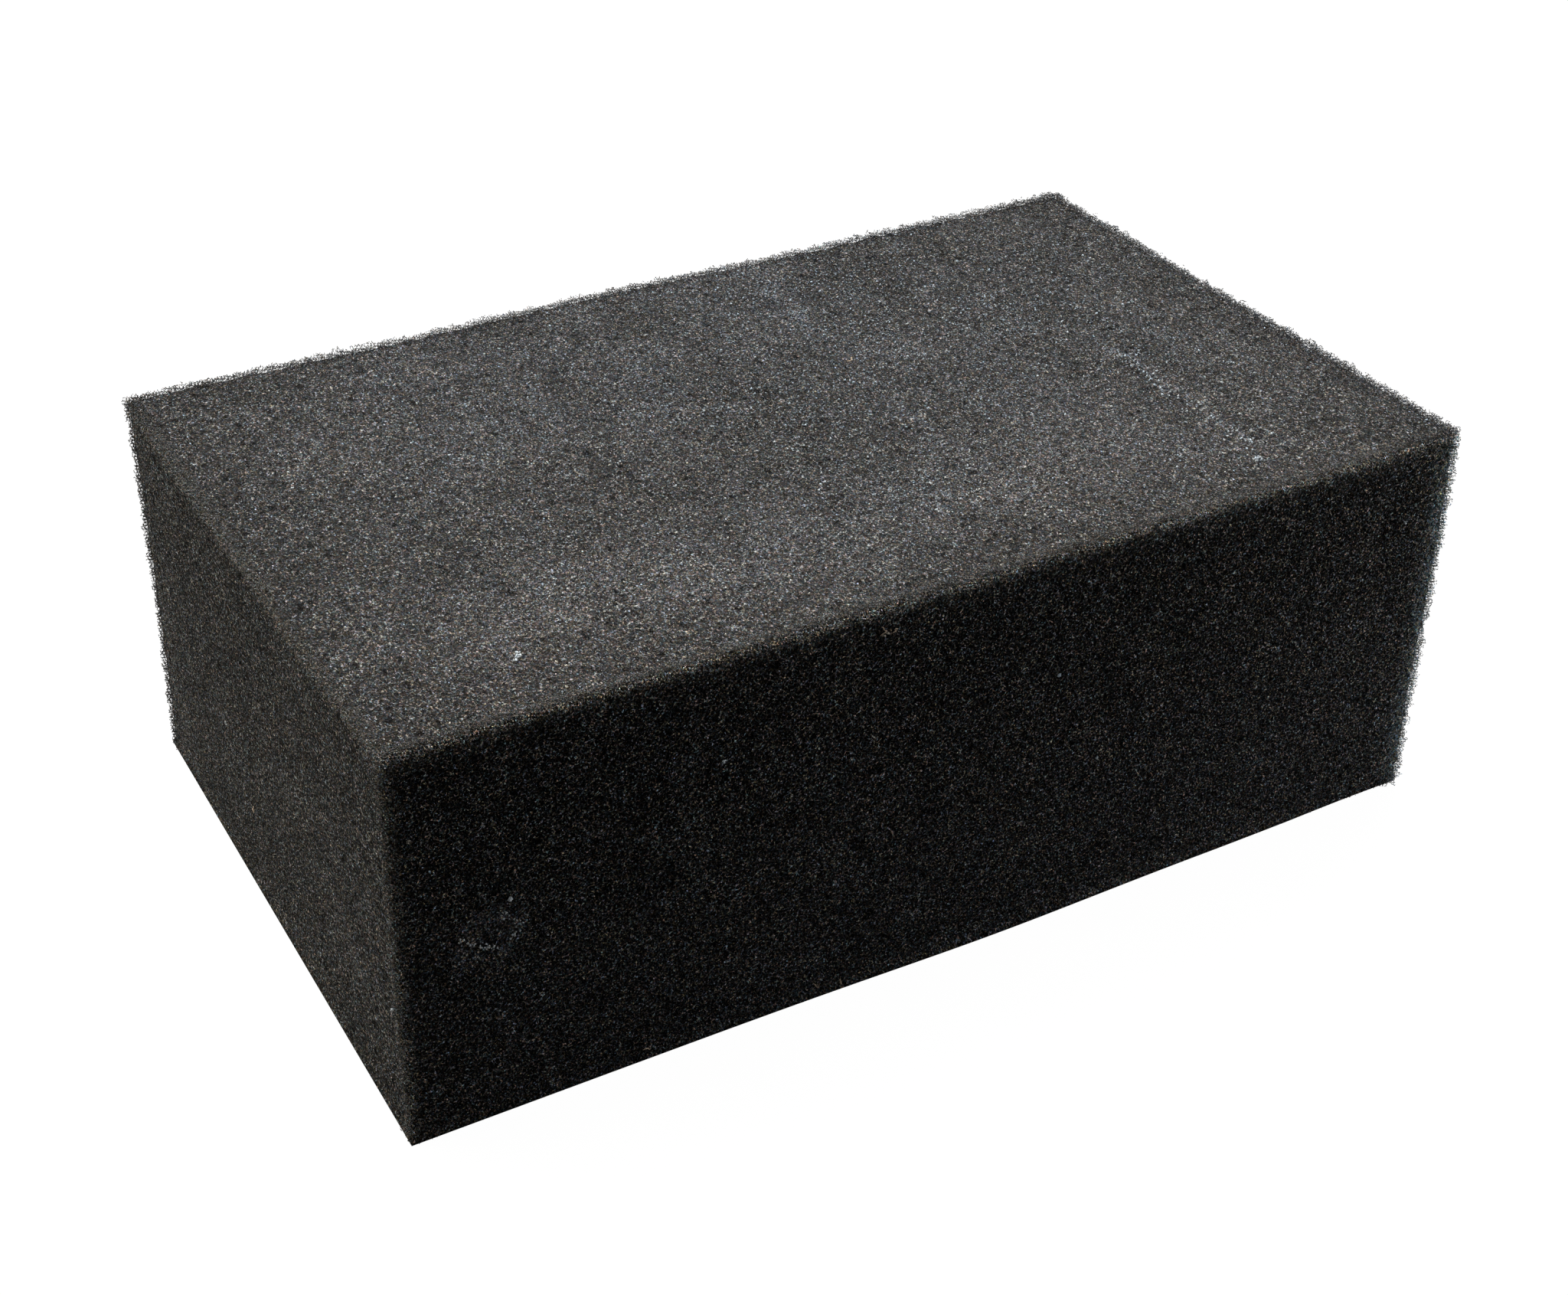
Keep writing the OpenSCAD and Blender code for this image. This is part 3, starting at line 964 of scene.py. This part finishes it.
crumb_draw = np.random.default_rng(51)
chip_places, chip_sizes, chip_tones, chip_warmths = [], [], [], []
for cut, start, end, spread, count, size, tone, buff in crumbs:
    first, last = place_on(cut, *start)[0], place_on(cut, *end)[0]
    trail_points = first + (last - first) * crumb_draw.random((count, 1))
    trail_points, lean = on_surface(trail_points + crumb_draw.normal(size=(count, 3)) * spread * mm)
    chip_places.append(trail_points + lean * crumb_draw.uniform(0.15, 0.40, (count, 1)) * mm)
    chip_sizes.append(size * crumb_draw.uniform(0.75, 1.35, count) * mm)
    chip_tones.append(np.minimum(tone * crumb_draw.uniform(0.75, 1.3, count), 1.8))
    chip_warmths.append(np.clip(buff + crumb_draw.uniform(-0.2, 0.2, count), 0, 1))
grain_piece("mortar_crumbs", np.concatenate(chip_places), np.concatenate(chip_sizes),
            np.concatenate(chip_tones), np.concatenate(chip_warmths), mortar, 52)


def thread(middle, lean, length, thick, rng):
    """A short bent fibre that lies on the foam: points and faces of a closed tube."""
    count = 9
    heading = rng.uniform(0, 2 * math.pi)
    side = np.cross(lean, (0.3, 0.2, 0.93))
    side /= np.linalg.norm(side)
    up = np.cross(side, lean)
    path = [np.zeros(3)]
    for k in range(count - 1):
        heading += rng.normal() * 0.75
        step = side * math.cos(heading) + up * math.sin(heading) + lean * rng.normal() * 0.2
        path.append(path[-1] + step * length / count)
    path = np.array(path)
    path += middle - path.mean(0) + lean * 0.45 * mm
    around = np.arange(4) * math.pi / 2
    taper = np.sin(np.linspace(0.25, math.pi - 0.25, count))[:, None, None] * thick / 2
    ring = np.cos(around)[:, None] * lean + np.sin(around)[:, None] * side
    points = (path[:, None] + ring[None] * taper).reshape(-1, 3)
    faces = []
    for k in range(count - 1):
        for m in range(4):
            a, b = k * 4 + m, k * 4 + (m + 1) % 4
            faces += [(a, b, b + 4), (a, b + 4, a + 4)]
    last = (count - 1) * 4
    faces += [(2, 1, 0), (3, 2, 0), (last, last + 1, last + 2), (last, last + 2, last + 3)]
    return points, np.array(faces)


fibre_draw = np.random.default_rng(55)
fibre_points, fibre_faces = [], []
fibre_marks = (
    ("front", -17.2, 71.2, 3.0), ("front", -15.0, 70.6, 2.2), ("front", -28.2, 2.6, 2.4),
    ("front", -23.5, 1.6, 1.8), ("front", -60.7, 2.4, 2.2), ("top", 22.0, 14.0, 2.4),
    ("end", 8.0, 20.0, 2.0),
)
so_far = 0
for cut, across, other, length in fibre_marks:
    middle, lean = place_on(cut, across, other)
    points, faces = thread(middle[0], lean[0], length * mm, 0.34 * mm, fibre_draw)
    fibre_points.append(points)
    fibre_faces.append(faces + so_far)
    so_far += len(points)
fibres = new_mesh("stray_fibres", np.concatenate(fibre_points), np.concatenate(fibre_faces))
brown, tree, place, shader = foam_material("brown_fibre")
fibre_tone = mapped(tree, noise_at(tree, place, 1.2, 3.0, 0.7), 0.3, 0.7, 0.6, 1.25)
fine_tone = mapped(tree, noise_at(tree, place, 6.0), 0.3, 0.7, 0.85, 1.1)
fibre_tone = sum_of(tree, "MULTIPLY", fibre_tone, fine_tone)
fibre_colour = vector_of(tree, "SCALE", (0.72, 0.56, 0.42), Scale=fibre_tone)
tree.links.new(fibre_colour, shader.inputs["Base Color"])
shader.inputs["Roughness"].default_value = 0.75
fibres.data.materials.append(brown)
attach(fibres, "root")


# ---------------------------------------------------------------- studio
# A plain white table with soft light from above, a little from the left and
# behind. The table shows white but throws little light back on the foam.

table_mesh = bpy.data.meshes.new("table")
reach = 6.0
table_mesh.from_pydata(
    [(-reach, -reach, 0), (reach, -reach, 0), (reach, reach, 0), (-reach, reach, 0)], [], [(0, 1, 2, 3)])
table = bpy.data.objects.new("table", table_mesh)
bpy.context.scene.collection.objects.link(table)
table_top = bpy.data.materials.new("white_table")
table_top.use_nodes = True
tree = table_top.node_tree
tree.nodes.clear()
seen = put(tree, "ShaderNodeBsdfDiffuse", {"Color": rgb(0.03, 0.03, 0.03)})
glow = put(tree, "ShaderNodeEmission", {"Color": rgb(1, 1, 1), "Strength": 0.985})
bright = put(tree, "ShaderNodeAddShader", {0: seen.outputs[0], 1: glow.outputs[0]})
dim = put(tree, "ShaderNodeBsdfDiffuse", {"Color": rgb(0.11, 0.11, 0.11)})
looked_at = put(tree, "ShaderNodeLightPath").outputs["Is Camera Ray"]
both = put(tree, "ShaderNodeMixShader", {0: looked_at, 1: dim.outputs[0], 2: bright.outputs[0]})
put(tree, "ShaderNodeOutputMaterial", {"Surface": both.outputs[0]})
table_mesh.materials.append(table_top)

world = bpy.data.worlds.new("studio")
bpy.context.scene.world = world
world.use_nodes = True
tree = world.node_tree
tree.nodes.clear()
backdrop = put(tree, "ShaderNodeBackground", {"Color": rgb(1, 1, 1), "Strength": 1.0})
fill = put(tree, "ShaderNodeBackground", {"Color": rgb(0.97, 1.0, 1.04), "Strength": 0.05})
looked_at = put(tree, "ShaderNodeLightPath").outputs["Is Camera Ray"]
both = put(tree, "ShaderNodeMixShader", {0: looked_at, 1: fill.outputs[0], 2: backdrop.outputs[0]})
put(tree, "ShaderNodeOutputWorld", {"Surface": both.outputs[0]})


def soft_box(name, direction, distance, size, power, colour=(1, 1, 1)):
    """A square soft light that faces the block from a direction."""
    light = bpy.data.lights.new(name, "AREA")
    light.shape = "SQUARE"
    light.size = size
    light.energy = power
    light.color = colour
    made = bpy.data.objects.new(name, light)
    bpy.context.scene.collection.objects.link(made)
    towards = Vector(direction).normalized()
    made.location = Vector((0, 0, 0.04)) + towards * distance
    made.rotation_mode = "QUATERNION"
    made.rotation_quaternion = towards.to_track_quat("Z", "Y")
    made.visible_camera = False
    return made


soft_box("overhead", (-0.10, 0.30, 1.0), 1.4, 1.1, 24.0)
soft_box("left_side", (-0.9, 0.36, 0.30), 1.0, 0.6, 5.3, (1.0, 0.97, 0.87))
soft_box("front_right", (0.80, -0.60, 0.16), 0.34, 0.2, 0.24)
soft_box("rim", (0.90, 0.62, 0.45), 1.3, 0.7, 14.0)

# ---------------------------------------------------------------- camera
# A longish lens from the front left, above the block.

camera_azimuth = math.radians(29.40)
camera_height = math.radians(32.67)
camera_roll = math.radians(0.48)
camera_distance = 460.9 * mm
aim = Vector((-2.0 * mm, -4.5 * mm, 30.0 * mm))
camera_data = bpy.data.cameras.new("camera")
camera_data.sensor_width = 36.0
camera_data.lens = 56.56
camera_data.clip_start = 0.02
camera_data.clip_end = 50
camera = bpy.data.objects.new("camera", camera_data)
bpy.context.scene.collection.objects.link(camera)
back = Vector((
    -math.sin(camera_azimuth) * math.cos(camera_height),
    -math.cos(camera_azimuth) * math.cos(camera_height),
    math.sin(camera_height),
))
camera.location = aim + back * camera_distance
camera.rotation_mode = "QUATERNION"
turn = back.to_track_quat("Z", "Y")
camera.rotation_quaternion = turn @ Matrix.Rotation(camera_roll, 3, "Z").to_quaternion()
bpy.context.scene.camera = camera
bpy.context.scene.view_settings.view_transform = "Standard"
